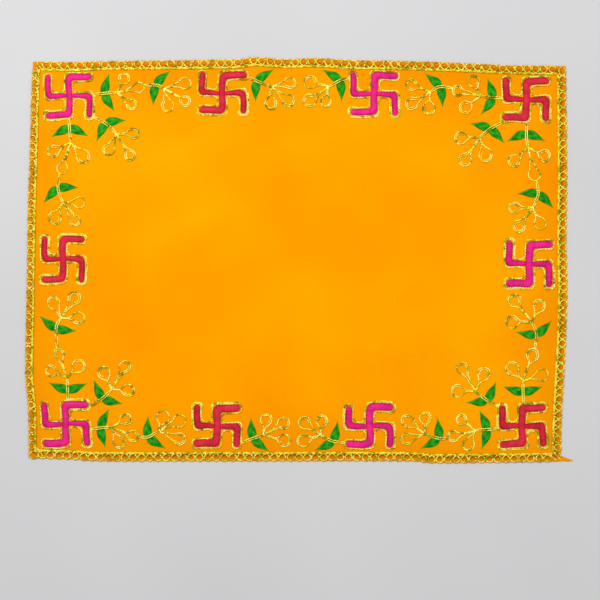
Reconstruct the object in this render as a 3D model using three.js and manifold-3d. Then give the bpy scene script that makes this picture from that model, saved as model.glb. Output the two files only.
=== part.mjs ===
// Altar cloth: a flat orange satin panel edged with gold cord lace, with ten satin-stitched
// swastikas outlined in gold and leafy gold sprays between them. Millimetres, +Z up, lying on z = 0.

import * as THREE from 'three';
import Module from 'manifold-3d';

const wasm = await Module();
wasm.setup();

// Driving dimensions
const STEP = 1.1; // one step of the drawing grid on which the pattern is laid out
const MIDDLE = { x: 300.63, y: 260.18 }; // grid point over the middle of the whole thing
const LEAN = THREE.MathUtils.degToRad(0.56); // turn of the grid against the cloth's sides
const CLOTH_THICK = 1.2; // satin with its turned edge
const GAP = 0.3; // under everything that is sewn on, and between neighbours
const CELLS = { along: 24, across: 18 }; // facets of the panel

const LACE_THICK = 1.2;
const LACE_CORNER_GAP = 0.25; // how far each run's mitre stays back from the corner
const LACE_EDGE_STRAND = 1.1; // width left between an opening and the outer edge
// slope: how far the pad's top draws in; round and taper: cut of its outer corners and its tips
const FILL = { stroke: 7.6, high: 1.0, slope: 0.8, round: 2.2, taper: 1.2 };
const CORD = { wide: 2.0, high: 1.1 };
// over: how high the stem humps over the leaves; reach: for how far; clear: its start off the line
const STEM = { wide: 3.0, high: 1.1, over: 0.85, reach: 6, clear: 0.6 };
const LOOP_CORNERS = 7;
const LEAF = { long: 21.5, high: 0.9, edge: 0.35, blunt: 1.2 };

const SATIN = { color: 0xfea101, roughness: 0.45, metalness: 0 };
const GOLD = { color: 0xd9b63a, roughness: 0.35, metalness: 0.8 };
const PINK = { color: 0xe22d80, roughness: 0.5, metalness: 0 };
const RED = { color: 0xca2c40, roughness: 0.5, metalness: 0 };
const GREEN = { color: 0x2f9620, roughness: 0.55, metalness: 0 };

// Edge of the cloth, side by side, as grid points
const TOP_EDGE = [[33, 61.5], [75, 62], [105, 61], [195, 60], [238, 59.2], [254, 57], [284, 59],
  [318, 58], [350, 60], [400, 60.7], [465, 63], [510, 65], [566, 66]];
const RIGHT_EDGE = [[566, 66], [567, 169], [566.5, 244], [567.3, 290], [566, 340], [564, 379],
  [562, 415], [561, 461.3]];
const BOTTOM_EDGE = [[28.5, 458], [75, 459.4], [105, 461], [270, 461], [405, 461], [435, 463],
  [540, 462], [561, 461.3]];
const LEFT_EDGE = [[33, 61.5], [31, 94], [30, 139], [28, 200], [26, 315], [25.2, 375], [28, 409],
  [28.5, 458]];
const LOOSE_END = [[558, 456], [565, 458], [573.2, 460.6], [565, 461.6], [558, 461]];

// Lace: band is its width, pitch the ring spacing, hole half the opening along and across the run
const LACE = {
  top: { edge: TOP_EDGE, band: 10.3, pitch: 9.1, hole: { along: 3.3, across: 3.2 } },
  right: { edge: RIGHT_EDGE, band: 10.5, pitch: 8.8, hole: { along: 3.2, across: 3.2 } },
  bottom: { edge: BOTTOM_EDGE, band: 10.2, pitch: 9.1, hole: { along: 3.3, across: 3.1 } },
  left: { edge: LEFT_EDGE, band: 9.0, pitch: 8.8, hole: { along: 3.2, across: 2.5 } },
};

// Soft unevenness of the panel: low ridges, with half lengths and widths in grid steps
const RIDGES = [
  { x: 170, y: 176, turn: 30, long: 85, wide: 34, high: 1.6 },
  { x: 292, y: 164, turn: 20, long: 85, wide: 30, high: 1.5 },
  { x: 428, y: 178, turn: -33, long: 85, wide: 30, high: 1.4 },
  { x: 200, y: 232, turn: 28, long: 70, wide: 28, high: 1.1 },
  { x: 400, y: 248, turn: 5, long: 95, wide: 32, high: 1.5 },
  { x: 425, y: 336, turn: 15, long: 75, wide: 34, high: 1.2 },
  { x: 205, y: 356, turn: 8, long: 70, wide: 32, high: 1.1 },
  { x: 152, y: 296, turn: 80, long: 62, wide: 28, high: 1.0 },
  { x: 254, y: 58, turn: 90, long: 60, wide: 42, high: 0.7 },
];

const MOTIFS = [
  { name: 'top_left', x: 69.0, y: 95.9, wide: 46.6, tall: 44, turn: 2, thread: PINK },
  { name: 'top_2', x: 222.5, y: 92.9, wide: 47.4, tall: 41.6, turn: 0, thread: RED },
  { name: 'top_3', x: 374.2, y: 93.9, wide: 47.8, tall: 43.4, turn: 0, thread: PINK },
  { name: 'top_right', x: 526.2, y: 99.5, wide: 46.6, tall: 43.6, turn: 0, thread: RED },
  { name: 'left', x: 63.0, y: 259.1, wide: 42.8, tall: 46.6, turn: 1, thread: RED },
  { name: 'right', x: 529.2, y: 263.9, wide: 46.6, tall: 46.6, turn: 0, thread: PINK },
  { name: 'bottom_left', x: 65.6, y: 424, wide: 47.4, tall: 44.4, turn: 3, thread: PINK },
  { name: 'bottom_2', x: 217.1, y: 426, wide: 46.6, tall: 42.6, turn: 0, thread: RED },
  { name: 'bottom_3', x: 369.6, y: 425.8, wide: 47.4, tall: 44, turn: 1, thread: PINK },
  { name: 'bottom_right', x: 522.3, y: 426, wide: 46.6, tall: 42.6, turn: 2, thread: RED },
];

// Sprays: a double stem runs from its root over a pair of leaves to a fork with three loops.
// on: the motif whose gold it belongs to. turns: where each leaf points, in degrees.
// loops: middle and outer radius of each, in grid steps.
const SPRAYS = [
  { on: 'top_left', root: [95.6, 94], leaf: [105, 93.5], fork: [116.6, 92.6], turns: [78, -62],
    loops: [[124.3, 78.7, 6.2], [138.6, 87.3, 6.2], [131.4, 104.5, 6.2]] },
  { on: 'top_left', root: [145, 84.6], leaf: [156.3, 85.4], fork: [163.8, 88.3], turns: [47, -99],
    loops: [[184.9, 83.5, 6.5], [167.7, 105.5, 7], [185.4, 101.2, 6.2]] },
  { on: 'top_left', root: [95.6, 118.4], leaf: [106.1, 123.7], fork: [116.6, 134.2], turns: [10, -118],
    loops: [[133.8, 133.2, 6.4], [109, 149.5, 6.7], [130, 155.2, 6.2]] },
  { on: 'top_left', root: [68.8, 119], leaf: [69.7, 128.4], fork: [70.7, 142.3], turns: [-155, -23],
    loops: [[53.5, 151.4, 6.9], [83.1, 156.2, 7.5], [62.1, 168.6, 6.2]] },
  { on: 'top_left', root: [59.5, 175], leaf: [58.3, 188.7], fork: [63, 202.4], turns: [-136, 3],
    loops: [[79.3, 202.4, 6.2], [54.9, 217.7, 7.4], [75, 220.6, 6.5]] },
  { on: 'bottom_left', root: [57.3, 347.3], leaf: [56.4, 327.8], fork: [61.1, 318.2], turns: [-9, 145],
    loops: [[54, 302.9, 7], [74.5, 298.1, 7.2], [78.4, 318.2, 7]] },
  { on: 'bottom_left', root: [67.8, 400.6], leaf: [67.8, 389.3], fork: [66.9, 377.8], turns: [161, 17],
    loops: [[51.1, 370.7, 6.4], [78.8, 365.9, 7.2], [59.2, 353.2, 6]] },
  { on: 'bottom_left', root: [90.8, 406.5], leaf: [103.2, 397.9], fork: [111.8, 389.3], turns: [118, -17],
    loops: [[104.2, 373, 7], [124.8, 366.8, 6.5], [128.1, 390.3, 6.8]] },
  { on: 'bottom_left', root: [91.3, 429.5], leaf: [101.3, 427.6], fork: [110.9, 427.6], turns: [68, -78],
    loops: [[125.7, 419, 6.4], [119, 441.9, 7], [132.9, 435.9, 6.4]] },
  { on: 'bottom_left', root: [139.6, 436.7], leaf: [148.7, 436.7], fork: [158, 431], turns: [92, -35],
    loops: [[163, 417, 7.2], [179.1, 420.8, 7.2], [179.1, 439, 6.9]] },
  { on: 'bottom_2', root: [243.2, 442.8], leaf: [253.8, 438], fork: [263.3, 435.1], turns: [98, -41],
    loops: [[266.2, 419.8, 6.5], [283.4, 423.2, 7], [284.4, 440.4, 6.9]] },
  { on: 'bottom_3', root: [345, 442.8], leaf: [332.5, 440.9], fork: [320.6, 435.6], turns: [75, -152],
    loops: [[322, 420.8, 6.5], [304.8, 422.7, 7], [303.4, 440.4, 7]] },
  { on: 'bottom_right', root: [446.6, 438.6], leaf: [437.8, 438], fork: [425.3, 434.2], turns: [91, -148],
    loops: [[425.3, 417.9, 6.5], [407.6, 420.8, 7.2], [407.1, 438.5, 7]] },
  { on: 'bottom_right', root: [497, 429.5], leaf: [486.4, 429.5], fork: [475, 430.4], turns: [110, -103],
    loops: [[461.6, 419.4, 6.2], [468.3, 444.3, 7], [453.4, 436.2, 6.3]] },
  { on: 'bottom_right', root: [498.9, 406.5], leaf: [486.4, 399.8], fork: [475, 391.2], turns: [-172, 62],
    loops: [[457.7, 390.7, 7.1], [462.5, 368.3, 6.7], [483.6, 374, 7.2]] },
  { on: 'bottom_right', root: [523.3, 402.5], leaf: [522.8, 391.2], fork: [522.8, 380.7], turns: [167, 13],
    loops: [[512.3, 368.3, 7.5], [541.9, 375, 6.9], [532.4, 354.9, 7]] },
  { on: 'bottom_right', root: [535.2, 348.5], leaf: [536.2, 334], fork: [531.9, 322], turns: [175, 41],
    loops: [[514.7, 300.5, 7.3], [539.1, 305.8, 7], [512.3, 322, 7.1]] },
  { on: 'top_right', root: [537, 181.5], leaf: [537.9, 194.5], fork: [532.8, 207.7], turns: [178, -41],
    loops: [[514.2, 207.7, 6.6], [519, 226.4, 7], [540, 223.5, 6.7]] },
  { on: 'top_right', root: [527.6, 124.1], leaf: [526.1, 134.2], fork: [527.6, 147.6], turns: [-159, -20],
    loops: [[514.2, 161, 7], [544.3, 155.7, 6.6], [534.3, 174.4, 7]] },
  { on: 'top_right', root: [503.2, 122.2], leaf: [489.3, 129.4], fork: [479.7, 137.5], turns: [163, -42],
    loops: [[460.6, 138, 6.9], [464.9, 160, 7], [485.5, 154.8, 7.5]] },
  { on: 'top_right', root: [501.7, 97.8], leaf: [492.2, 97.8], fork: [480.7, 95.9], turns: [104, -124],
    loops: [[473.5, 81.1, 6.5], [457.7, 91.1, 6.2], [465.4, 107.4, 6.7]] },
  { on: 'top_right', root: [452.6, 88], leaf: [439.5, 87], fork: [430.1, 92.1], turns: [138, -81],
    loops: [[411.7, 84.9, 6.5], [411.7, 103.6, 7], [428.7, 108.4, 6.9]] },
  { on: 'top_3', root: [348.8, 77.7], leaf: [339.2, 81.1], fork: [328.7, 86.8], turns: [146, -83],
    loops: [[310, 82, 7.2], [309.6, 100.7, 7.2], [325.8, 101.7, 6]] },
  { on: 'top_2', root: [247.8, 77.5], leaf: [257.6, 81.6], fork: [271, 86.8], turns: [37, -96],
    loops: [[289.6, 83, 6.9], [271, 103.6, 6.7], [288.2, 100.7, 7]] },
];

// A grid point in millimetres on the cloth
function place([gridX, gridY]) {
  const right = gridX - MIDDLE.x;
  const up = MIDDLE.y - gridY;
  return new THREE.Vector2(
    (right * Math.cos(LEAN) - up * Math.sin(LEAN)) * STEP,
    (right * Math.sin(LEAN) + up * Math.cos(LEAN)) * STEP,
  );
}

// Height of the panel's underside over the table: flat but for the soft ridges
function rise(x, y) {
  let high = 0;
  for (const ridge of RIDGES) {
    const middle = place([ridge.x, ridge.y]);
    const turn = THREE.MathUtils.degToRad(ridge.turn);
    const along = (x - middle.x) * Math.cos(turn) + (y - middle.y) * Math.sin(turn);
    const across = (y - middle.y) * Math.cos(turn) - (x - middle.x) * Math.sin(turn);
    const off = (along / (ridge.long * STEP)) ** 2 + (across / (ridge.wide * STEP)) ** 2;
    if (off < 1) high += ridge.high * (1 - off) ** 2;
  }
  return high;
}

function geometryOf(points, faces) {
  const geometry = new THREE.BufferGeometry();
  const flat = new Float32Array(points.flat());
  geometry.setAttribute('position', new THREE.BufferAttribute(flat, 3));
  geometry.setIndex(faces.flat());
  return geometry;
}

function solidOf(geometry) {
  return new wasm.Manifold(new wasm.Mesh({
    numProp: 3,
    vertProperties: new Float32Array(geometry.attributes.position.array),
    triVerts: new Uint32Array(geometry.index.array),
  }));
}

function fuse(geometries) {
  const whole = geometries.map(solidOf).reduce((sum, next) => sum.add(next));
  const mesh = whole.getMesh();
  const geometry = new THREE.BufferGeometry();
  geometry.setAttribute('position', new THREE.BufferAttribute(new Float32Array(mesh.vertProperties), 3));
  geometry.setIndex(new THREE.BufferAttribute(new Uint32Array(mesh.triVerts), 1));
  return geometry;
}

// Drops a piece made on z = 0 onto the panel, a gap above its top
function lay(geometry) {
  const spots = geometry.attributes.position;
  for (let i = 0; i < spots.count; i += 1) {
    const under = ground(spots.getX(i), spots.getY(i)) + CLOTH_THICK + GAP;
    spots.setZ(i, spots.getZ(i) + under);
  }
  return geometry;
}

// A pad between a lower and an upper outline with as many points; high may differ point by point
function pad(lower, upper, high) {
  const count = lower.length;
  if (THREE.ShapeUtils.isClockWise(lower)) {
    lower = [...lower].reverse();
    upper = [...upper].reverse();
    if (Array.isArray(high)) high = [...high].reverse();
  }
  const points = [
    ...lower.map((p) => [p.x, p.y, 0]),
    ...upper.map((p, i) => [p.x, p.y, Array.isArray(high) ? high[i] : high]),
  ];
  const faces = [];
  for (const [a, b, c] of THREE.ShapeUtils.triangulateShape(lower, [])) faces.push([a, c, b]);
  for (const [a, b, c] of THREE.ShapeUtils.triangulateShape(upper, [])) {
    faces.push([a + count, b + count, c + count]);
  }
  for (let i = 0; i < count; i += 1) {
    const next = (i + 1) % count;
    faces.push([i, next, next + count], [i, next + count, i + count]);
  }
  return geometryOf(points, faces);
}

// Cord of a three-sided section laid along a path; lifts raise it point by point
function cord(path, size, closed, lifts = []) {
  const count = path.length;
  const points = [];
  for (let i = 0; i < count; i += 1) {
    const here = path[i];
    const before = path[closed ? (i + count - 1) % count : Math.max(i - 1, 0)];
    const after = path[closed ? (i + 1) % count : Math.min(i + 1, count - 1)];
    const into = (i > 0 || closed ? here.clone().sub(before) : after.clone().sub(here)).normalize();
    const out = (i < count - 1 || closed ? after.clone().sub(here) : into.clone()).normalize();
    const side = into.clone().add(out).normalize();
    const stretch = Math.min(1 / Math.max(side.dot(into), 0.5), 1.5);
    const half = (size.wide / 2) * stretch;
    const lift = lifts[i] ?? 0;
    points.push([here.x - side.y * half, here.y + side.x * half, lift]);
    points.push([here.x + side.y * half, here.y - side.x * half, lift]);
    points.push([here.x, here.y, lift + size.high]);
  }
  const faces = [];
  const spans = closed ? count : count - 1;
  for (let i = 0; i < spans; i += 1) {
    const a = i * 3;
    const b = ((i + 1) % count) * 3;
    for (const [p, q] of [[1, 0], [2, 1], [0, 2]]) {
      faces.push([a + p, a + q, b + q], [a + p, b + q, b + p]);
    }
  }
  if (!closed) {
    const end = (count - 1) * 3;
    faces.push([0, 1, 2], [end + 2, end + 1, end]);
  }
  return geometryOf(points, faces);
}

// Outline of an upright right-facing swastika, grown outwards by a margin
function swastika(motif, margin) {
  const reachX = (motif.wide * STEP) / 2 + margin;
  const reachY = (motif.tall * STEP) / 2 + margin;
  const half = FILL.stroke / 2 + margin;
  const turn = THREE.MathUtils.degToRad(motif.turn);
  const middle = place([motif.x, motif.y]);
  const outline = [];
  for (const quarter of [0, 1, 2, 3]) {
    const [side, up] = quarter % 2 === 0 ? [reachX, reachY] : [reachY, reachX];
    const arm = [
      [-half, up - FILL.round], [FILL.round - half, up],
      [side, up - FILL.taper], [side, up - 2 * half + FILL.taper],
      [half, up - 2 * half], [half, half],
    ];
    for (const [x, y] of arm) {
      const corner = new THREE.Vector2(x, y);
      outline.push(corner.rotateAround(new THREE.Vector2(), turn - (quarter * Math.PI) / 2).add(middle));
    }
  }
  return outline;
}

// Corners of the panel's facets, row by row, each as a plan point and the height of its underside
function panelGrid() {
  const side = (edge) => new THREE.SplineCurve(edge.map(place));
  const [top, right, bottom, left] = [TOP_EDGE, RIGHT_EDGE, BOTTOM_EDGE, LEFT_EDGE].map(side);
  const grid = [];
  for (let j = 0; j <= CELLS.across; j += 1) {
    for (let i = 0; i <= CELLS.along; i += 1) {
      const u = i / CELLS.along;
      const v = j / CELLS.across;
      const spot = top.getPointAt(u).multiplyScalar(1 - v).addScaledVector(bottom.getPointAt(u), v);
      spot.addScaledVector(left.getPointAt(v), 1 - u).addScaledVector(right.getPointAt(v), u);
      spot.addScaledVector(top.getPointAt(0), -(1 - u) * (1 - v));
      spot.addScaledVector(top.getPointAt(1), -u * (1 - v));
      spot.addScaledVector(bottom.getPointAt(0), -(1 - u) * v);
      spot.addScaledVector(bottom.getPointAt(1), -u * v);
      grid.push([spot.x, spot.y, rise(spot.x, spot.y)]);
    }
  }
  return grid;
}

// The two triangles of each facet, as corner numbers in the grid
function panelFacets() {
  const row = CELLS.along + 1;
  const facets = [];
  for (let j = 0; j < CELLS.across; j += 1) {
    for (let i = 0; i < CELLS.along; i += 1) {
      const a = j * row + i;
      facets.push([a, a + row + 1, a + 1], [a, a + row, a + row + 1]);
    }
  }
  return facets;
}

const GRID = panelGrid();
const FACETS = panelFacets();

// Height of the faceted underside at a plan point, or of the nearest facet's plane just outside it
function ground(x, y) {
  let inside = -Infinity;
  let height = 0;
  for (const [a, b, c] of FACETS) {
    const [p, q, r] = [GRID[a], GRID[b], GRID[c]];
    const whole = (q[0] - p[0]) * (r[1] - p[1]) - (r[0] - p[0]) * (q[1] - p[1]);
    const shareQ = ((x - p[0]) * (r[1] - p[1]) - (r[0] - p[0]) * (y - p[1])) / whole;
    const shareR = ((q[0] - p[0]) * (y - p[1]) - (x - p[0]) * (q[1] - p[1])) / whole;
    const least = Math.min(shareQ, shareR, 1 - shareQ - shareR);
    if (least > inside) {
      inside = least;
      height = p[2] + shareQ * (q[2] - p[2]) + shareR * (r[2] - p[2]);
    }
  }
  return height;
}

// Satin panel: a wavy sheet inside its four drawn edges, with the pointed end of its turned edge
function clothPanel() {
  const points = [0, CLOTH_THICK].flatMap((level) => GRID.map(([x, y, z]) => [x, y, z + level]));
  const row = CELLS.along + 1;
  const sheet = GRID.length;
  const faces = [];
  for (const [a, b, c] of FACETS) faces.push([a, c, b], [a + sheet, b + sheet, c + sheet]);
  const rim = [];
  for (let i = 0; i < CELLS.along; i += 1) rim.push(i);
  for (let j = 0; j < CELLS.across; j += 1) rim.push(j * row + CELLS.along);
  for (let i = CELLS.along; i > 0; i -= 1) rim.push(CELLS.across * row + i);
  for (let j = CELLS.across; j > 0; j -= 1) rim.push(j * row);
  rim.forEach((a, k) => {
    const b = rim[(k + 1) % rim.length];
    faces.push([a, a + sheet, b + sheet], [a, b + sheet, b]);
  });
  const end = LOOSE_END.map(place);
  return fuse([geometryOf(points, faces), pad(end, end, CLOTH_THICK)]);
}

// One run of lace: a band with an opening in each ring, mitred at both ends
function laceRun({ edge, band, pitch, hole }) {
  const curve = new THREE.SplineCurve(edge.map(place));
  const long = curve.getLength();
  const middle = place([MIDDLE.x, MIDDLE.y]);
  const spot = (along, inwards) => {
    const u = THREE.MathUtils.clamp(along / long, 0, 1);
    const at = curve.getPointAt(u);
    const way = curve.getTangentAt(u);
    const inward = new THREE.Vector2(-way.y, way.x);
    if (inward.dot(middle.clone().sub(at)) < 0) inward.negate();
    return at.addScaledVector(inward, inwards);
  };
  const start = band + LACE_CORNER_GAP;
  const rings = Math.round((long - 2 * start) / pitch);
  const step = (long - 2 * start) / rings;
  const points = [];
  const top = [];
  const rims = [];
  const add = (along, inwards) => {
    const at = spot(along, inwards);
    points.push([at.x, at.y, 0], [at.x, at.y, LACE_THICK]);
    return points.length / 2 - 1;
  };
  const outer = [add(LACE_CORNER_GAP, 0)];
  const inner = [add(LACE_CORNER_GAP + band, band)];
  for (let k = 0; k <= rings; k += 1) {
    outer.push(add(start + k * step, 0));
    if (k > 0 && k < rings) inner.push(add(start + k * step, band));
  }
  outer.push(add(long - LACE_CORNER_GAP, 0));
  inner.push(add(long - LACE_CORNER_GAP - band, band));
  top.push([outer[0], outer[1], inner[0]]);
  top.push([outer[rings + 1], outer[rings + 2], inner[rings]]);
  const centre = hole.across + LACE_EDGE_STRAND;
  for (let k = 0; k < rings; k += 1) {
    const along = start + (k + 0.5) * step;
    const west = add(along - hole.along, centre);
    const out = add(along, centre - hole.across);
    const east = add(along + hole.along, centre);
    const deep = add(along, centre + hole.across);
    const [a, b, c, d] = [outer[k + 1], outer[k + 2], inner[k + 1], inner[k]];
    top.push([a, b, out], [a, out, west], [b, east, out], [a, west, d]);
    top.push([b, c, east], [d, west, deep], [c, deep, east], [d, deep, c]);
    rims.push([deep, east, out, west]);
  }
  const corner = [outer[0], outer[1], inner[0]].map((i) => new THREE.Vector2(...points[2 * i]));
  const flip = THREE.ShapeUtils.isClockWise(corner);
  rims.push([...outer, ...inner.reverse()]);
  const faces = [];
  const put = (a, b, c) => faces.push(flip ? [a, c, b] : [a, b, c]);
  for (const [a, b, c] of top) {
    put(2 * a + 1, 2 * b + 1, 2 * c + 1);
    put(2 * a, 2 * c, 2 * b);
  }
  rims.forEach((rim) => {
    rim.forEach((a, i) => {
      const b = rim[(i + 1) % rim.length];
      put(2 * a, 2 * b, 2 * b + 1);
      put(2 * a, 2 * b + 1, 2 * a + 1);
    });
  });
  return lay(geometryOf(points, faces));
}

const cloth = new THREE.Group();
function piece(name, geometry, material) {
  const mesh = new THREE.Mesh(geometry, new THREE.MeshStandardMaterial(material));
  mesh.name = name;
  cloth.add(mesh);
}

piece('cloth', clothPanel(), SATIN);
for (const [side, run] of Object.entries(LACE)) piece(`lace_${side}`, laceRun(run), GOLD);

// Closed path of a loop: round, with its near side drawn out to the fork
function loopPath(spray, [gridX, gridY, radius]) {
  const middle = place([gridX, gridY]);
  const round = radius * STEP - CORD.wide / 2;
  const toFork = place(spray.fork).sub(middle);
  const path = [];
  for (let k = 0; k < LOOP_CORNERS; k += 1) {
    const turn = toFork.angle() + (k * 2 * Math.PI) / LOOP_CORNERS;
    const reach = k === 0 ? toFork.length() : round;
    path.push(new THREE.Vector2(Math.cos(turn), Math.sin(turn)).multiplyScalar(reach).add(middle));
  }
  return path;
}

// Point nearest to a spot on any of the closed paths
function nearest(paths, spot) {
  let best = spot;
  let least = Infinity;
  for (const path of paths) {
    path.forEach((a, i) => {
      const way = path[(i + 1) % path.length].clone().sub(a);
      const part = THREE.MathUtils.clamp(spot.clone().sub(a).dot(way) / way.lengthSq(), 0, 1);
      const there = a.clone().addScaledVector(way, part);
      if (there.distanceTo(spot) < least) {
        best = there;
        least = there.distanceTo(spot);
      }
    });
  }
  return best;
}

// Stem of a spray: it starts on the gold line and humps over the bases of its two leaves
function stem(spray, paths) {
  const [leaf, fork] = [spray.leaf, spray.fork].map(place);
  const root = nearest(paths, place(spray.root));
  root.add(leaf.clone().sub(root).setLength(STEM.clear));
  const back = root.clone().sub(leaf).setLength(STEM.reach).add(leaf);
  const ahead = fork.clone().sub(leaf).setLength(STEM.reach).add(leaf);
  return cord([root, back, leaf, ahead, fork], STEM, false, [0, STEM.over, STEM.over, STEM.over, 0]);
}

for (const motif of MOTIFS) {
  const fill = pad(swastika(motif, 0), swastika(motif, -FILL.slope), FILL.high);
  piece(`fill_${motif.name}`, lay(fill), motif.thread);
  const outline = swastika(motif, GAP + CORD.wide / 2);
  const cords = [cord(outline, CORD, true)];
  const sprays = SPRAYS.filter((spray) => spray.on === motif.name);
  const loops = sprays.map((spray) => spray.loops.map((loop) => loopPath(spray, loop)));
  sprays.forEach((spray, i) => {
    const others = loops.filter((paths) => paths !== loops[i]).flat();
    cords.push(stem(spray, [outline, ...others]));
    cords.push(...loops[i].map((path) => cord(path, CORD, true)));
  });
  piece(`gold_${motif.name}`, lay(fuse(cords)), GOLD);
}

// One leaf from the stem outwards: low at its base, where the stem crosses it, and fuller on the
// side that faces the root. back and front: its half widths on that side and on the other.
function leaf(base, turn, root) {
  const stations = [
    { along: 0, back: 1.8, front: 1.8, inset: 0.3, high: LEAF.edge },
    { along: 5, back: 5.4, front: 3.0, inset: 0.5, high: LEAF.edge },
    { along: 11, back: 6.2, front: 3.1, inset: 0.9, high: LEAF.high },
  ];
  const axis = new THREE.Vector2(Math.cos(turn), Math.sin(turn));
  const hand = Math.sign(axis.cross(root.clone().sub(base)));
  const spot = (along, aside) => {
    const turned = new THREE.Vector2(along, aside * hand).rotateAround(new THREE.Vector2(), turn);
    return turned.add(base);
  };
  const lower = stations.map((s) => spot(s.along, s.back));
  lower.push(spot(LEAF.long, 0));
  lower.push(...[...stations].reverse().map((s) => spot(s.along, -s.front)));
  const upper = stations.map((s) => spot(s.along, s.back - s.inset));
  upper.push(spot(LEAF.long - LEAF.blunt, 0));
  upper.push(...[...stations].reverse().map((s) => spot(s.along, s.inset - s.front)));
  const rising = stations.map((s) => s.high);
  return pad(lower, upper, [...rising, LEAF.edge, ...rising.reverse()]);
}

SPRAYS.forEach((spray, i) => {
  const [base, root] = [spray.leaf, spray.root].map(place);
  const turns = spray.turns.map((turn) => THREE.MathUtils.degToRad(turn) + LEAN);
  const pair = turns.map((turn) => leaf(base, turn, root));
  piece(`leaves_${String(i + 1).padStart(2, '0')}`, lay(fuse(pair)), GREEN);
});

export default cloth;
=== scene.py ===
"""Altar cloth: an orange satin panel edged with gold cord lace, with ten satin-stitched
swastikas outlined in gold cord and leafy gold sprays between them. It lies flat on a table."""

from math import cos, degrees, pi, radians, sin

import bpy
import numpy as np
from numpy.linalg import norm
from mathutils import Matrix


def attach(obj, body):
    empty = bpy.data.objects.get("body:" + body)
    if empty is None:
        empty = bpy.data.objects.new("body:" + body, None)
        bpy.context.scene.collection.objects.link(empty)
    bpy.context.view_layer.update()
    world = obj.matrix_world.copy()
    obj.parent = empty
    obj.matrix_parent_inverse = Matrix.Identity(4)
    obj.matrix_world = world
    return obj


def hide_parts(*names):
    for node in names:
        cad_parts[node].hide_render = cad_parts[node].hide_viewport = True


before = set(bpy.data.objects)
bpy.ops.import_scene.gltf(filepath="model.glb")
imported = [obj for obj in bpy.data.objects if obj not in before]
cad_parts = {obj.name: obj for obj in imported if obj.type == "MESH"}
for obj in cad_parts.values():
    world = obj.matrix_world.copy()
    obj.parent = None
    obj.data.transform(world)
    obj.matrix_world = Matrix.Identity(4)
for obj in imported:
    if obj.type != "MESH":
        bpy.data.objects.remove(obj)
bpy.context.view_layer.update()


# Satin panel. One cut of orange satin lies on the table in very low waves. Its edges are turned
# under and pressed, and the pointed end of the turned edge sticks out at the lower right corner.
MM = 0.001
STEP = 1.1 * MM  # one step of the drawing grid on which the pattern is laid out
MIDDLE = (300.63, 260.18)  # grid point over the middle of the whole thing
LEAN = radians(0.56)  # turn of the grid against the cloth's sides
CLOTH_THICK = 1.2 * MM
HEM_WIDE = 12 * MM
HEM_STEP = 0.5 * MM  # the panel is thinner by this inside its turned edge
HEM_SLOPE = 0.5 * MM  # and thins over this width
HEM_LINES = 0.7 * MM  # from the hem's line to the mesh lines on either side of it
HEM_CLEAR = 1.6 * MM  # no other mesh line comes nearer to it than this
RIM_LINES = (0, 0.15, 0.35, 0.6, 1.2)  # mm from the edge to the mesh lines that round it off
RIM_CLEAR = 2.2 * MM  # the first even mesh line lies this far in
EDGE_ROUND = 0.6 * MM
EDGE_DOWN = 0.5  # shares of the thickness by which the rounded edge comes down and up
EDGE_UP = 0.4
EDGE_SHADE_REACH = 70 * MM  # the satin is painted a little darker this far in, and darkest under the lace as a painted shadow
CELLS_ALONG = 150
CELLS_ACROSS = 111
CUT_SIZE = (0.595, 0.443)

# The edges in grid points, each from left to right or from top to bottom
EDGE_POINTS = {
    "top": [(33, 61.5), (75, 62), (105, 61), (195, 60), (238, 59.2), (254, 57), (284, 59),
            (318, 58), (350, 60), (400, 60.7), (465, 63), (510, 65), (566, 66)],
    "right": [(566, 66), (567, 169), (566.5, 244), (567.3, 290), (566, 340), (564, 379),
              (562, 415), (561, 461.3)],
    "bottom": [(28.5, 458), (75, 459.4), (105, 461), (270, 461), (405, 461), (435, 463),
               (540, 462), (561, 461.3)],
    "left": [(33, 61.5), (31, 94), (30, 139), (28, 200), (26, 315), (25.2, 375), (28, 409),
             (28.5, 458)],
}
# Low ridges: middle in grid points, turn in degrees, half length and half width in grid steps,
# height in mm
RIDGES = [
    (170, 176, 30, 85, 34, 1.6),
    (292, 164, 20, 85, 30, 1.5),
    (428, 178, -33, 85, 30, 1.4),
    (200, 232, 28, 70, 28, 1.1),
    (400, 248, 5, 95, 32, 1.5),
    (425, 336, 15, 75, 34, 1.2),
    (205, 356, 8, 70, 32, 1.1),
    (152, 296, 80, 62, 28, 1.0),
    (254, 58, 90, 60, 42, 0.7),
]
# Fine puckers where the lace's sewing draws the satin in
PUCKER = dict(high=0.10 * MM, middle=12 * MM, spread=6 * MM, wave=11 * MM)


def place(points):
    """Grid points in metres on the cloth."""
    points = np.asarray(points, float)
    right = (points[..., 0] - MIDDLE[0]) * STEP
    up = (MIDDLE[1] - points[..., 1]) * STEP
    return np.stack([right * cos(LEAN) - up * sin(LEAN),
                     right * sin(LEAN) + up * cos(LEAN)], axis=-1)


def smooth_line(corners, closed=False, parts=12):
    """Smooth curve through the corners, as close points."""
    corners = np.asarray(corners, float)
    if closed:
        before, here, after, beyond = (np.roll(corners, -k, axis=0) for k in (-1, 0, 1, 2))
    else:
        padded = np.vstack([corners[:1], corners, corners[-1:]])
        before, here, after, beyond = padded[:-3], padded[1:-2], padded[2:-1], padded[3:]
    leave = (after - before) / 2
    arrive = (beyond - here) / 2
    t = (np.arange(parts) / parts)[None, :, None]
    here, after, leave, arrive = (a[:, None, :] for a in (here, after, leave, arrive))
    line = here + leave * t + (3 * (after - here) - 2 * leave - arrive) * t ** 2
    line = line + (2 * (here - after) + leave + arrive) * t ** 3
    line = line.reshape(-1, corners.shape[1])
    return line if closed else np.vstack([line, corners[-1:]])


def lengths_along(line):
    steps = norm(np.diff(line, axis=0), axis=1)
    return np.concatenate([[0], np.cumsum(steps)])


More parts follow.
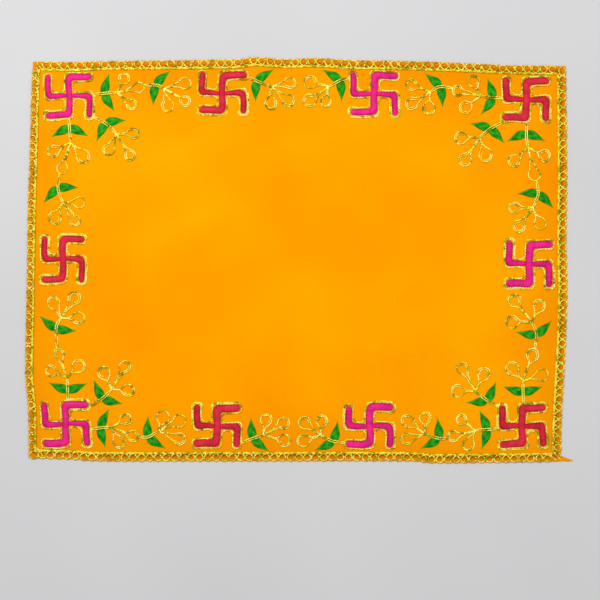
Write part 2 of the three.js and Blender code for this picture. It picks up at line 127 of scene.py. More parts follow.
def read_off(values, gone, at):
    """Values given at some lengths along a line, read off at others."""
    return np.stack([np.interp(at, gone, column) for column in values.T], axis=-1)


def spaced(line, gap, closed=False):
    """The same line with its points evenly spaced, about a gap apart."""
    if closed:
        line = np.vstack([line, line[:1]])
    gone = lengths_along(line)
    count = max(int(round(gone[-1] / gap)), 2)
    points = read_off(line, gone, np.linspace(0, gone[-1], count + 1))
    return points[:-1] if closed else points


def left_of(way):
    """Unit vectors to the left of plan directions."""
    way = way / np.maximum(norm(way, axis=1), 1e-9)[:, None]
    return np.stack([-way[:, 1], way[:, 0]], axis=1)


EDGES = {name: spaced(smooth_line(place(points), parts=40), 1 * MM)
         for name, points in EDGE_POINTS.items()}


def inset(spots):
    """How far plan points lie inside the nearest edge."""
    x, y = spots[..., 0], spots[..., 1]
    top, right, bottom, left = EDGES.values()
    gaps = [np.interp(x, top[:, 0], top[:, 1]) - y,
            y - np.interp(x, bottom[:, 0], bottom[:, 1]),
            np.interp(-y, -right[:, 1], right[:, 0]) - x,
            x - np.interp(-y, -left[:, 1], left[:, 0])]
    return np.minimum.reduce(gaps)


def rise(spots):
    """Height of the panel's underside over the table."""
    lift = np.zeros(spots.shape[:-1])
    for x, y, turn, long, wide, high in RIDGES:
        off = spots - place((x, y))
        turn = radians(turn)
        along = off[..., 0] * cos(turn) + off[..., 1] * sin(turn)
        across = off[..., 1] * cos(turn) - off[..., 0] * sin(turn)
        far = (along / (long * STEP)) ** 2 + (across / (wide * STEP)) ** 2
        lift += high * MM * np.clip(1 - far, 0, 1) ** 2
    return lift


def satin_top(spots):
    """Height of the satin's upper face; its puckers are crossed waves, bent so as not to repeat."""
    depth = inset(spots)
    x, y = spots[..., 0], spots[..., 1]
    turns = 2 * pi / PUCKER["wave"]
    waves = np.sin(turns * x + 2 * np.sin(19 * y)) * np.sin(0.83 * turns * y + 2 * np.sin(23 * x))
    waves += 0.6 * np.sin(0.41 * turns * (x + y)) * np.sin(0.37 * turns * (x - y))
    near = np.exp(-((depth - PUCKER["middle"]) / PUCKER["spread"]) ** 2)
    return rise(spots) + CLOTH_THICK + PUCKER["high"] * waves * near


def shares(cells, long):
    """Where the mesh lines cross a side: even, and closer at the rounded edge and the hem."""
    rim = np.array(RIM_LINES) * MM / long
    hem = np.array([HEM_WIDE - HEM_LINES, HEM_WIDE + HEM_LINES]) / long
    even = np.linspace(RIM_CLEAR / long, 1 - RIM_CLEAR / long, cells)
    even = even[np.abs(np.minimum(even, 1 - even) - HEM_WIDE / long) > HEM_CLEAR / long]
    return np.sort(np.concatenate([rim, hem, even, 1 - rim, 1 - hem]))


def along_edge(name, parts):
    gone = lengths_along(EDGES[name])
    return read_off(EDGES[name], gone, parts * gone[-1])


# The corners of a grid's faces in the order that turns them over
OVER = [0, 3, 2, 1]


def grid_faces(number):
    """Faces between the rows of a grid of numbered points."""
    here, ahead = number[:-1], number[1:]
    corners = [here[:, :-1], here[:, 1:], ahead[:, 1:], ahead[:, :-1]]
    return np.stack(corners, axis=-1).reshape(-1, 4)


def tube_faces(number, closed=False):
    """Faces of a tube of numbered rings, with its two ends unless it is closed."""
    here, ahead = (number, np.roll(number, -1, axis=0)) if closed else (number[:-1], number[1:])
    sides = np.stack([here, np.roll(here, -1, 1), np.roll(ahead, -1, 1), ahead], axis=-1)
    ends = [] if closed else [number[0, ::-1].tolist(), number[-1].tolist()]
    return ends + sides.reshape(-1, 4).tolist()


def show(name, data):
    made = bpy.data.objects.new(name, data)
    bpy.context.scene.collection.objects.link(made)
    return made


def make_mesh(name, spots, faces, marks):
    """A smooth-shaded object from points, faces and named values at its points."""
    mesh = bpy.data.meshes.new(name)
    mesh.from_pydata(spots.tolist(), [], faces)
    mesh.validate()
    mesh.polygons.foreach_set("use_smooth", [True] * len(mesh.polygons))
    for mark, values in marks.items():
        layer = mesh.attributes.new(mark, "FLOAT", "POINT")
        layer.data.foreach_set("value", np.asarray(values, np.float32))
    return show(name, mesh)


def satin_sheet():
    """The panel, thick at its turned edge and thinner inside it, as one closed sheet."""
    across = shares(CELLS_ALONG, CUT_SIZE[0])
    down = shares(CELLS_ACROSS, CUT_SIZE[1])
    u, v = np.meshgrid(across, down)
    u, v = u[..., None], v[..., None]
    top, bottom = (along_edge(n, across)[None, :, :] for n in ("top", "bottom"))
    left, right = (along_edge(n, down)[:, None, :] for n in ("left", "right"))
    spots = top * (1 - v) + bottom * v + left * (1 - u) + right * u
    spots = spots - top[:, :1] * (1 - u) * (1 - v) - top[:, -1:] * u * (1 - v)
    spots = spots - bottom[:, :1] * (1 - u) * v - bottom[:, -1:] * u * v
    wide = np.minimum(u, 1 - u)[..., 0] * CUT_SIZE[0]
    deep = np.minimum(v, 1 - v)[..., 0] * CUT_SIZE[1]
    depth = np.minimum(wide, deep)
    rounded = 1 - np.sqrt(1 - (1 - np.clip(depth / EDGE_ROUND, 0, 1)) ** 2)
    upper = satin_top(spots) - rounded * CLOTH_THICK * EDGE_DOWN
    inside = np.clip((depth - HEM_WIDE) / HEM_SLOPE + 0.5, 0, 1)
    lower = rise(spots) + rounded * CLOTH_THICK * EDGE_UP + inside * HEM_STEP
    rows, columns = depth.shape
    number = np.arange(rows * columns).reshape(rows, columns)
    under = rows * columns
    rim = np.concatenate([number[0, :-1], number[:-1, -1], number[-1, :0:-1], number[:0:-1, 0]])
    after = np.roll(rim, -1)
    faces = np.concatenate([grid_faces(number)[:, OVER], grid_faces(number) + under,
                            np.stack([rim, after, after + under, rim + under], 1)])
    flat = spots.reshape(-1, 2)
    points = np.concatenate([np.column_stack([flat, upper.ravel()]),
                             np.column_stack([flat, lower.ravel()])])
    shaded = np.clip(1 - depth / EDGE_SHADE_REACH, 0, 1)
    return points, faces.tolist(), np.tile(shaded.ravel(), 2)


# The pointed end of the turned edge, from the corner outwards, with half its width and thickness
LOOSE_END = [((556, 459.2), 2.2, 0.55), ((560.5, 458.9), 2.3, 0.55), ((564, 459.4), 2.0, 0.5),
             ((567.5, 460.0), 1.5, 0.42), ((570.6, 460.3), 0.9, 0.33), ((573.0, 460.6), 0.3, 0.2)]
LOOSE_END_SIDES = 10
LOOSE_END_FOLD = 0.18  # depth of its three folds as a share of its width
LOOSE_END_CLEAR = 0.02 * MM  # its height over the table


def loose_end():
    """A flattened, tapering twist of satin, closed at both ends."""
    middles = place([at for at, wide, thick in LOOSE_END])
    halves = np.array([(wide * STEP, thick * MM) for at, wide, thick in LOOSE_END])
    line = smooth_line(np.column_stack([middles, halves]), parts=8)
    side = left_of(np.gradient(line[:, :2], axis=0))
    turn = np.linspace(0, 2 * pi, LOOSE_END_SIDES, endpoint=False)
    twist = np.linspace(0, 2.5, len(line))[:, None]
    fold = 1 + LOOSE_END_FOLD * np.cos(3 * turn + twist)
    wide = line[:, 2:3] * np.cos(turn) * fold
    plan = line[:, None, :2] + side[:, None, :] * wide[..., None]
    high = line[:, 3:4] * (1 + np.sin(turn) * fold) + LOOSE_END_CLEAR
    points = np.concatenate([plan, high[..., None]], axis=2).reshape(-1, 3)
    return points, tube_faces(np.arange(len(points)).reshape(-1, LOOSE_END_SIDES))


def node(tree, kind, **settings):
    """A shader node; names that are not its own settings are its unlinked sockets."""
    made = tree.nodes.new(kind)
    for name, value in settings.items():
        if hasattr(made, name):
            setattr(made, name, value)
        else:
            made.inputs[name.replace("_", " ")].default_value = value
    return made


def colour(r, g, b):
    """A colour given in 0 to 255 screen values, as Blender's linear one."""
    def linear(value):
        value /= 255
        return value / 12.92 if value <= 0.04045 else ((value + 0.055) / 1.055) ** 2.4
    return (linear(r), linear(g), linear(b), 1.0)


def new_material(name, finish):
    """An empty material with one Principled shader and its unlinked sockets set."""
    material = bpy.data.materials.new(name)
    material.use_nodes = True
    shader = material.node_tree.nodes["Principled BSDF"]
    for socket, value in finish.items():
        shader.inputs[socket].default_value = value
    return material, material.node_tree, shader


WHITE, BLACK = (1, 1, 1, 1), (0, 0, 0, 1)


def ramp(tree, fac, stops):
    """A colour ramp fed by a socket."""
    made = tree.nodes.new("ShaderNodeValToRGB")
    stages = made.color_ramp.elements
    for stage, (position, shade) in zip(stages, (stops[0], stops[-1])):
        stage.position, stage.color = position, shade
    for position, shade in stops[1:-1]:
        stages.new(position).color = shade
    tree.links.new(fac, made.inputs["Fac"])
    return made.outputs["Color"]


def mixed(tree, fac, first, second, blend="MIX"):
    """A colour mix; fac and second may be a socket or a plain value."""
    made = node(tree, "ShaderNodeMix", data_type="RGBA", blend_type=blend)
    for socket, value in ((made.inputs[0], fac), (made.inputs[6], first), (made.inputs[7], second)):
        if isinstance(value, bpy.types.NodeSocket):
            tree.links.new(value, socket)
        else:
            socket.default_value = value
    return made.outputs[2]


def noise(tree, scale, stretch=(1, 1, 1), detail=2.0):
    """Noise in the object's own space, stretched along its axes."""
    where = node(tree, "ShaderNodeTexCoord")
    mapping = node(tree, "ShaderNodeMapping", Scale=stretch)
    made = node(tree, "ShaderNodeTexNoise", Scale=scale, Detail=detail)
    tree.links.new(where.outputs["Object"], mapping.inputs["Vector"])
    tree.links.new(mapping.outputs["Vector"], made.inputs["Vector"])
    return made.outputs["Fac"]


def coat(tree, shader, shade, height, strength, distance):
    """Gives the shader its colour and a fine relief."""
    tree.links.new(shade, shader.inputs["Base Color"])
    made = node(tree, "ShaderNodeBump", Strength=strength, Distance=distance)
    tree.links.new(height, made.inputs["Height"])
    tree.links.new(made.outputs["Normal"], shader.inputs["Normal"])


def mark(tree, name):
    """The values that make_mesh stored under a name."""
    return node(tree, "ShaderNodeAttribute", attribute_name=name).outputs["Fac"]


satin, tree, shader = new_material("orange_satin", {
    "Roughness": 0.42, "Specular IOR Level": 0.35, "Specular Tint": colour(255, 150, 0),
    "Sheen Weight": 0.06, "Sheen Roughness": 0.4, "Sheen Tint": colour(255, 160, 0)})
body = ramp(tree, noise(tree, 7.0), [(0.34, colour(252, 152, 0)), (0.66, colour(255, 166, 0))])
floats = noise(tree, 900.0, stretch=(0.16, 1.6, 1), detail=3.0)
threads = ramp(tree, floats, [(0.3, (0.9, 0.9, 0.9, 1)), (0.7, WHITE)])
body = mixed(tree, 0.7, body, threads, "MULTIPLY")
near = mark(tree, "near_edge")
# Painted darker towards the edges.
border = ramp(tree, near, [(0.1, WHITE), (0.5, (0.97, 0.95, 1, 1)), (0.85, (0.91, 0.87, 1, 1))])
body = mixed(tree, 1.0, body, border, "MULTIPLY")
# Painted shadow of the lace on the satin under its rings and plait, darkest towards the plait.
share = ramp(tree, near, [(0.857, BLACK), (0.88, WHITE)])
lace_shadow = ramp(tree, near, [(0.883, colour(184, 116, 4)), (0.903, colour(158, 90, 4)),
                         (0.923, colour(188, 102, 6)), (0.951, colour(222, 126, 8)),
                         (0.989, colour(238, 140, 6))])
body = mixed(tree, share, body, lace_shadow)
coat(tree, shader, body, floats, 0.35, 0.05 * MM)
sheet_points, sheet_faces, sheet_shade = satin_sheet()
end_points, end_faces = loose_end()
# The loose end takes a fixed near_edge value, so it is painted a little darker like the satin near
# the edge.
satin_panel = make_mesh(
    "satin_panel", np.concatenate([sheet_points, end_points]),
    sheet_faces + [[i + len(sheet_points) for i in face] for face in end_faces],
    {"near_edge": np.concatenate([sheet_shade, np.full(len(end_points), 0.8)])})
satin_panel.data.materials.append(satin)
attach(satin_panel, "root")
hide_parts("cloth")


# Gold lace. Cord lace 9 to 11 mm wide, four lengths mitred at the corners and sewn on the edge:
# a twisted gold cord turns one open ring after another, and a three-strand plait heads them.
GRAIN = 0.72 * MM  # spacing of the mesh along a cord
PLY_SIDES = 5
BEAD = 9 * MM  # the plies swell and thin again over this length
BEAD_SWELL = 0.2
STRIP_WIDE = 0.42  # mm, the flat metal strip that is wound round each ply's core
RING_CORD = dict(ply=0.46 * MM, off=0.44 * MM, lay=5.6 * MM, squash=0.8)
PLAIT_CORD = dict(ply=0.46 * MM, off=0.0, lay=3.0 * MM, squash=0.85)
PLAIT = dict(swing=0.86 * MM, over=0.32 * MM, length=6.8 * MM, lift=0.7 * MM, inside=1.4 * MM)
# A ring's cord, corner by corner from the plait: shares of the ring's half sizes along the edge and
# inwards from its middle, and height in mm; the last corner is where it crosses over itself
RING_TURN = [(0.3, 1.0, 0.7), (1.0, 0.1, 0.65), (0.7, -0.72, 0.65), (0.0, -1.0, 0.7),
             (-0.7, -0.72, 0.9), (-1.0, 0.1, 1.3), (-0.3, 1.0, 1.7)]
RING_FOOT = 0.42  # the cord leaves the plait by this share of a pitch before the ring's middle
RING_LOW = 0.9 * MM  # height of the cord there
OVER_LIFT = 0.8 * MM  # from there up to where it crosses over itself
LACE_CORNER_GAP = 0.25 * MM
# In mm: the lace's width, the rings' pitch, how far in their middles lie, and their half sizes
# along the edge and across it
RUN_COLUMNS = ("band", "pitch", "rings", "along", "across")
RUN_SIZES = dict(top=(10.3, 9.1, 4.2, 4.0, 3.65), right=(10.5, 8.8, 4.2, 3.9, 3.65),
                 bottom=(10.2, 9.1, 4.2, 4.0, 3.6), left=(9.0, 8.8, 3.6, 3.7, 3.1))
LACE_RUNS = {side: dict(zip(RUN_COLUMNS, np.array(sizes) * MM)) for side, sizes in RUN_SIZES.items()}
LACE_SHINE = dict(top=0.0, right=0.12, bottom=-0.03, left=-0.07)  # painted highlight per run, negative for painted shade; the left run is painted darkest
# Stray strands where the cord is led round the corners: height in mm, closed or not, grid points
CORNER_STRANDS = {
    "top": [
        (0.9, False, [(38.0, 61.8), (38.4, 64.6), (40.2, 67.4), (43.6, 69.8)]),
        (1.3, False, [(41.6, 61.6), (42.0, 64.2), (43.6, 66.8), (46.4, 69.4)]),
        (1.0, True, [(558.6, 71.4), (559.6, 68.3), (562.2, 67.3), (564.6, 69.2), (565.0, 72.6),
                     (563.4, 75.6), (560.4, 75.4)]),
        (1.3, False, [(553.2, 72.4), (556.6, 74.2), (558.6, 77.2), (558.2, 80.8)]),
    ],
    "right": [],
    "bottom": [
        (1.0, False, [(552.4, 450.6), (555.2, 454.2), (558.6, 457.8), (561.0, 460.2)]),
        (0.9, False, [(549.6, 454.2), (552.4, 456.8), (556.2, 460.2)]),
        (1.2, False, [(542.6, 453.6), (546.8, 454.8), (551.0, 456.2), (554.8, 459.8)]),
        (1.4, False, [(553.4, 448.2), (556.6, 450.4), (559.6, 453.8), (560.6, 457.2)]),
        (0.8, False, [(561.0, 447.6), (558.8, 450.6), (556.0, 452.4), (553.0, 452.2)]),
        (0.9, True, [(29.6, 454.2), (31.6, 451.8), (35.4, 451.2), (38.2, 453.4), (37.6, 456.6),
                     (33.8, 458.0), (30.4, 457.2)]),
        (1.5, False, [(36.6, 447.2), (38.4, 450.4), (41.6, 453.6), (43.4, 457.4)]),
    ],
    "left": [
        (1.4, False, [(32.4, 72.8), (34.6, 74.2), (36.6, 76.4), (38.4, 79.4)]),
        (0.8, False, [(36.4, 67.0), (37.6, 69.6), (37.2, 73.0), (35.2, 76.0)]),
    ],
}


class Bag:
    """Points, faces and marks of the cords or stitches that make up one piece."""

    def __init__(self):
        self.points, self.faces, self.crests, self.gone, self.count = [], [], [], [], 0

    def numbers(self, rows, columns):
        """Numbers of the points that are put in next, row by row."""
        return np.arange(rows * columns).reshape(rows, columns) + self.count

    def put(self, spots, crests, faces):
        self.points.append(spots.reshape(-1, 3))
        self.crests.append(crests.ravel())
        self.faces += faces
        self.count += crests.size

    def tube(self, line, side, radius, squash, crest, closed):
        """One ply: a round tube along a line, with its radius and crest mark ring by ring."""
        turn = np.linspace(0, 2 * pi, PLY_SIDES, endpoint=False) + 0.3
        wide = radius[:, None] * np.cos(turn)
        spots = line[:, None, :] + side[:, None, :] * wide[..., None]
        spots[..., 2] += radius[:, None] * squash * np.sin(turn)
        # Painted shade on the underside of each ply.
        marks = np.clip(crest[:, None] + 0.38 * np.sin(turn), 0, 1)
        self.put(spots, marks, tube_faces(self.numbers(len(line), PLY_SIDES), closed))
        self.gone.append(np.repeat(lengths_along(line) / MM, PLY_SIDES))

    def cord(self, line, cord, closed=False, plies=2, phase=0.0, shine=0.0):
        """A twisted cord along a line, with a painted highlight added by shine: one value, or one for
        each point.
        """
        ends = line[[-1, 0]] if closed else line[[0, -1]]
        padded = np.vstack([ends[:1], line, ends[1:]])
        side = np.column_stack([left_of((padded[2:] - padded[:-2])[:, :2]), np.zeros(len(line))])
        gone = lengths_along(line)
        whole = gone[-1] + (norm(line[0] - line[-1]) if closed else 0)
        turns = max(round(2 * whole / cord["lay"]) / 2, 0.5)
        for j in range(plies):
            angle = 2 * pi * (turns * gone / whole + j / plies) + phase
            middle = line + side * (cord["off"] * np.cos(angle))[:, None]
            middle[:, 2] += cord["off"] * cord["squash"] * np.sin(angle)
            # Painted light and shade: the ply on top lighter, the one underneath darker.
            crest = 0.46 + 0.36 * np.sin(angle) if cord["off"] else np.full(len(line), 0.5)
            beads = max(round(whole / BEAD), 1)
            swell = np.sin(2 * pi * beads * gone / whole + 3.1 * j + 5 * line[0, 0] / STEP)
            radius = cord["ply"] * (1 + BEAD_SWELL * swell)
            if not closed:
                radius = radius * np.clip(0.2 + np.minimum(gone, whole - gone) / MM, 0, 1) ** 0.6
            # The swelling beads are painted lighter.
            self.tube(middle, side, radius, cord["squash"], crest + shine + 0.14 * swell, closed)

    def piece(self, name, material):
        marks = {"crest": np.concatenate(self.crests)}
        if self.gone:
            marks["wound"] = np.concatenate(self.gone)
        made = make_mesh(name, np.concatenate(self.points), self.faces, marks)
        made.data.materials.append(material)
        return made


def lay_on(plan, lift):
    """Plan points raised over the satin's upper face."""
    return np.column_stack([plan, satin_top(plan) + lift])


def run_points(side, local):
    """Turns distances along, inwards and up on one edge into points over the satin."""
    line = EDGES[side]
    gone = lengths_along(line)
    inward = left_of(np.gradient(line, axis=0))
    if inward[len(line) // 2] @ line[len(line) // 2] > 0:
        inward = -inward
    along = np.clip(local[:, 0], 0, gone[-1])
    spots = read_off(line, gone, along) + read_off(inward, gone, along) * local[:, 1:2]
    return lay_on(spots, local[:, 2])


def gold_thread(name, low, middle, high, glint, sheen_strength, glints):
    """Metallised thread with painted shade between and under the plies, painted highlights on their
    crests, painted dim and bright stretches of sheen, and sparse painted glints.
    """
    material, tree, shader = new_material(name, {
        "Metallic": 0.3, "Roughness": 0.3, "Specular IOR Level": 0.5,
        "Specular Tint": colour(255, 206, 20)})
    # Painted light and shade: dark low on the plies, bright on their crests.
    body = ramp(tree, mark(tree, "crest"), [(0.1, low), (0.42, middle), (0.78, high)])
    tarnish = ramp(tree, noise(tree, 260.0), [(0.34, (0.5, 0.46, 0.3, 1)), (0.52, WHITE)])
    body = mixed(tree, 0.75, body, tarnish, "MULTIPLY")
    # Painted sheen: dim and bright stretches along the cord.
    painted_sheen = ramp(tree, noise(tree, 95.0, detail=1.0), [(0.4, (0.48, 0.44, 0.26, 1)),
                                                      (0.56, (1.1, 1.1, 1.1, 1))])
    body = mixed(tree, sheen_strength, body, painted_sheen, "MULTIPLY")
    # Painted glints.
    for size, least in glints:
        spark = ramp(tree, noise(tree, size, detail=1.0), [(least, BLACK), (least + 0.06, WHITE)])
        body = mixed(tree, spark, body, glint)
    strip = node(tree, "ShaderNodeMath", operation="MULTIPLY")
    strip.inputs[1].default_value = 2 * pi / STRIP_WIDE
    tree.links.new(mark(tree, "wound"), strip.inputs[0])
    ribs = node(tree, "ShaderNodeMath", operation="SINE")
    tree.links.new(strip.outputs[0], ribs.inputs[0])
    coat(tree, shader, body, ribs.outputs[0], 0.5, 0.03 * MM)
    return material


LACE_GOLD = gold_thread("lace_gold", colour(92, 70, 0), colour(210, 166, 4),
                        colour(255, 234, 40), colour(255, 250, 104), sheen_strength=0.75,
                        glints=((330.0, 0.54), (150.0, 0.58)))


def ring_line(run, start, step, count, rng):
    """The cord that turns the rings: out of the plait, round a ring, across itself and back."""
    foot = run["band"] - 1.1 * MM
    corners = []
    for k in range(count):
        at = start + (k + 0.5) * step + rng.uniform(-0.3, 0.3) * MM
        wide = run["along"] * rng.uniform(0.92, 1.05)
        tall = run["across"] * rng.uniform(0.96, 1.02)
        corners.append((at - RING_FOOT * step, foot + rng.uniform(-0.4, 0.4) * MM, RING_LOW))
        corners += [(at + along * wide, run["rings"] + across * tall, high * MM)
                    for along, across, high in RING_TURN]
    return np.array(corners + [(start + count * step, foot, RING_LOW)])


def lace_run(side, seed):
    run = LACE_RUNS[side]
    rng = np.random.default_rng(seed)
    long = lengths_along(EDGES[side])[-1]
    start = run["band"] + LACE_CORNER_GAP
    count = round((long - 2 * start) / run["pitch"])
    step = (long - 2 * start) / count
    bag = Bag()
    rings = spaced(smooth_line(ring_line(run, start, step, count, rng), parts=5), GRAIN)
    # Painted highlight where the cord rises to cross over itself.
    over = np.clip((rings[:, 2] - RING_LOW) / OVER_LIFT, 0, 1)
    bag.cord(run_points(side, rings), RING_CORD, shine=LACE_SHINE[side] + 0.34 * over - 0.06)
    head = run["band"] - PLAIT["inside"]
    for strand in range(3):
        at = np.arange(head, long - head, GRAIN)
        angle = 2 * pi * (at / PLAIT["length"] + strand / 3)
        local = np.column_stack([at, head + PLAIT["swing"] * np.sin(angle),
                                 PLAIT["lift"] + PLAIT["over"] * np.sin(2 * angle)])
        # Painted light and shade: each plait strand lighter where it lies over, darker where it goes
        # under.
        bag.cord(run_points(side, local), PLAIT_CORD, plies=1,
                 shine=LACE_SHINE[side] + 0.3 * np.sin(2 * angle))
    for high, closed, points in CORNER_STRANDS[side]:
        plan = spaced(smooth_line(place(points), closed), GRAIN, closed)
        # Painted highlight on the stray corner strands.
        bag.cord(lay_on(plan, high * MM), RING_CORD, closed=closed, shine=0.1)
    return bag


for number, side in enumerate(LACE_RUNS):
    edging = lace_run(side, seed=11 + number).piece("lace_edging_" + side, LACE_GOLD)
    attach(edging, "root")
    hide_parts("lace_" + side)


# Swastika fills. Padded satin stitch in silky pink or red thread, worked straight across each
# stroke, fanned round its corners and shortened to its rounded tips; the upright lies on top.
STROKE = 7.6 * MM  # full width of an upright, which each motif's own stroke comes near
CROSSBAR_SHARE = 0.9  # the crossbar and its arms are slimmer than the upright, and lower
CROSSBAR_LOW = 0.86
WAIST = 0.26  # share by which the crossbar narrows towards the upright, over the next length
WAIST_LONG = 14 * MM
FILL_HIGH = 1.25 * MM
STITCH = 0.40 * MM  # from one thread to the next
STITCH_STRAY = 0.09 * MM  # how unevenly the stitches end
STITCH_RIDGE = 0.055 * MM  # a thread's two rows of points lie this much over and under its level
SUNK = 0.04 * MM  # how far a stitch's ends go into the satin
INNER_ROUND = 3.2 * MM
TIP_ROUND = 4.4 * MM
CORNER_SQUARE = 3.6  # power of the curve round an outer corner: 2 is round, more is squarer
UNDER = 0.5 * MM  # how far the crossbar's ends are tucked under the upright
HAND_SWAY = 0.42 * MM  # how far the hand-guided work strays from its drawn lines
# Middle, width and height in grid steps, the upright's stroke in mm, the turn in degrees, and by
# how many mm the left arm stops short
MOTIF_COLUMNS = ("name", "x", "y", "wide", "tall", "stroke", "turn", "thread", "short")
MOTIFS = [dict(zip(MOTIF_COLUMNS, row)) for row in (
    ("top_left", 69.0, 95.9, 46.6, 44.0, 6.9, 2, "pink", 0),
    ("top_2", 222.5, 92.9, 47.4, 41.6, 7.2, 0, "red", 0),
    ("top_3", 374.2, 93.9, 47.8, 43.4, 7.4, 0, "pink", 0),
    ("top_right", 526.2, 99.5, 46.6, 43.6, 7.9, 0, "red", 0),
    ("left", 63.0, 259.1, 42.8, 46.6, 7.2, 1, "red", 0),
    ("right", 529.2, 263.9, 46.6, 46.6, 8.1, 0, "pink", 0),
    ("bottom_left", 65.6, 424.0, 47.4, 44.4, 7.6, 3, "pink", 0),
    ("bottom_2", 217.1, 426.0, 46.6, 42.6, 8.0, 0, "red", 0),
    ("bottom_3", 369.6, 425.8, 47.4, 44.0, 8.0, 1, "pink", 3.0),
    ("bottom_right", 522.3, 426.0, 46.6, 42.6, 7.9, 2, "red", 0),
)]
# Share across the stroke, and height there as a share of the whole
CROWN = [(0.0, 0.0), (0.06, 0.42), (0.2, 0.8), (0.5, 1.0), (0.8, 0.8), (0.94, 0.42), (1.0, 0.0)]


def turned(points, turn):
    """Points turned about the origin by an angle in degrees."""
    angle = radians(turn)
    x, y = np.asarray(points, float).T
    return np.column_stack([x * cos(angle) - y * sin(angle),
                            x * sin(angle) + y * cos(angle)])


def swayed(points, seed):
    """Points of one motif moved a little, all alike, as its strokes were guided by hand."""
    x, y = points.T
    right = np.sin(y / (5.5 * MM) + 1.7 * seed) + 0.6 * np.sin(x / (8 * MM) + 2.3 * seed)
    up = np.sin(x / (5.9 * MM) + 2.9 * seed) + 0.6 * np.sin(y / (7 * MM) + 1.1 * seed)
    return points + HAND_SWAY * np.column_stack([right, up])


def end_share(gone, tipped):
    """Width near the end of a stroke: rounded off at a tip, drawn in at the upright."""
    if tipped:
        return (1 - np.clip(1 - gone / TIP_ROUND, 0, 1) ** 2) ** 0.5
    return 1 - WAIST * np.clip(1 - gone / WAIST_LONG, 0, 1)


def stroke_stitches(corners, stroke, first_tip, last_tip):
    """Ends of the stitches of one stroke, left and right, as it turns its corners."""
    half, gap = stroke / 2, STITCH / 2
    lefts, rights = [], []
    corners = np.array(corners, float)
    last = len(corners) - 1
    for i in range(last):
        way = corners[i + 1] - corners[i]
        long = norm(way)
        way = way / long
        left = np.array([-way[1], way[0]])
        begin = 0 if i == 0 else half + INNER_ROUND
        end = long if i == last - 1 else long - half - INNER_ROUND
        at = np.arange(begin, end, gap)
        wide = np.full(len(at), half)
        if i == 0:
            wide *= end_share(at, first_tip)
        if i == last - 1:
            wide *= end_share(long - at, last_tip)
        middle = corners[i] + way * at[:, None]
        lefts.append(middle + left * wide[:, None])
        rights.append(middle - left * wide[:, None])
        if i < last - 1:
            ahead = corners[i + 2] - corners[i + 1]
            ahead = ahead / norm(ahead)
            centre = corners[i + 1] + (half + INNER_ROUND) * (ahead - way)
            reach = 2 * half + INNER_ROUND
            angle = np.linspace(0, pi / 2, int(2 * reach / gap))[:, None]
            ray = way * np.sin(angle) - ahead * np.cos(angle)
            corner = np.cos(angle) ** CORNER_SQUARE + np.sin(angle) ** CORNER_SQUARE
            far = reach / corner ** (1 / CORNER_SQUARE)
            inner, outer = centre + INNER_ROUND * ray, centre + far * ray
            turns_left = way[0] * ahead[1] - way[1] * ahead[0] > 0
            lefts.append(inner if turns_left else outer)
            rights.append(outer if turns_left else inner)
    return np.concatenate(lefts), np.concatenate(rights)


def by_thread(rng, count, size, *columns):
    """Random values within a size, the same at both edges of a thread."""
    thread = np.arange(count) // 2
    return rng.uniform(-size, size, (thread[-1] + 1, *columns))[thread]


def stitched(bag, left, right, high, rng):
    """A crowned pad of threads laid from the left ends to the right ones."""
    count = len(left)
    loose = by_thread(rng, count, STITCH_STRAY, 2)
    way = right - left
    wide = norm(way, axis=1)
    way = way / np.maximum(wide, 1e-9)[:, None]
    left, right = left + way * loose[:, :1], right + way * loose[:, 1:]
    share, crown = np.array(CROWN).T
    plan = left[:, None] * (1 - share)[:, None] + right[:, None] * share[:, None]
    full = np.clip(wide / STROKE, 0.05, 1) ** 0.6
    ridge = np.where(np.arange(count) % 2 == 0, STITCH_RIDGE, -STITCH_RIDGE)[:, None]
    level = by_thread(rng, count, 0.03, 1) * MM
    height = crown * (high * full[:, None] + ridge + level) - SUNK
    spots = np.dstack([plan, satin_top(plan) + height])
    tone = by_thread(rng, count, 0.5, 1)
    # Random tone per stitch, with painted shade where the threads dip at the pad's edges, painted
    # light and shade on the raised and lower rows, and painted shade over the whole lower crossbar.
    tone_and_shade = 0.06 + 0.66 * crown + 0.26 * tone + 2.2 * ridge / MM
    tone_and_shade = np.clip(tone_and_shade * (high / FILL_HIGH) ** 2, 0, 1)
    number = bag.numbers(count, len(CROWN))
    faces = np.concatenate([grid_faces(number), grid_faces(number[:, [0, -1]])[:, OVER]])
    bag.put(spots, tone_and_shade, faces.tolist() + [number[0, ::-1].tolist(), number[-1].tolist()])


def swastika_fill(motif, seed):
    rng = np.random.default_rng(seed)
    right, up = motif["wide"] * STEP / 2, motif["tall"] * STEP / 2
    upright = motif["stroke"] * MM
    bar = CROSSBAR_SHARE * upright
    half, slim = upright / 2, bar / 2
    middle = place((motif["x"], motif["y"]))
    left_up = up - motif["short"] * MM
    strokes = [
        ([(slim - right, left_up), (slim - right, 0), (UNDER - half, 0)], bar, True, False),
        ([(half - UNDER, 0), (right - slim, 0), (right - slim, -up)], bar, False, True),
        ([(right, up - half), (0, up - half), (0, half - up), (-right, half - up)], upright,
         True, True),
    ]
    bag = Bag()
    for corners, stroke, first_tip, last_tip in strokes:
        left, right_ends = stroke_stitches(corners, stroke, first_tip, last_tip)
        left, right_ends = (turned(swayed(ends, seed), motif["turn"]) + middle
                            for ends in (left, right_ends))
        stitched(bag, left, right_ends, FILL_HIGH * (CROSSBAR_LOW if stroke == bar else 1), rng)
    return bag


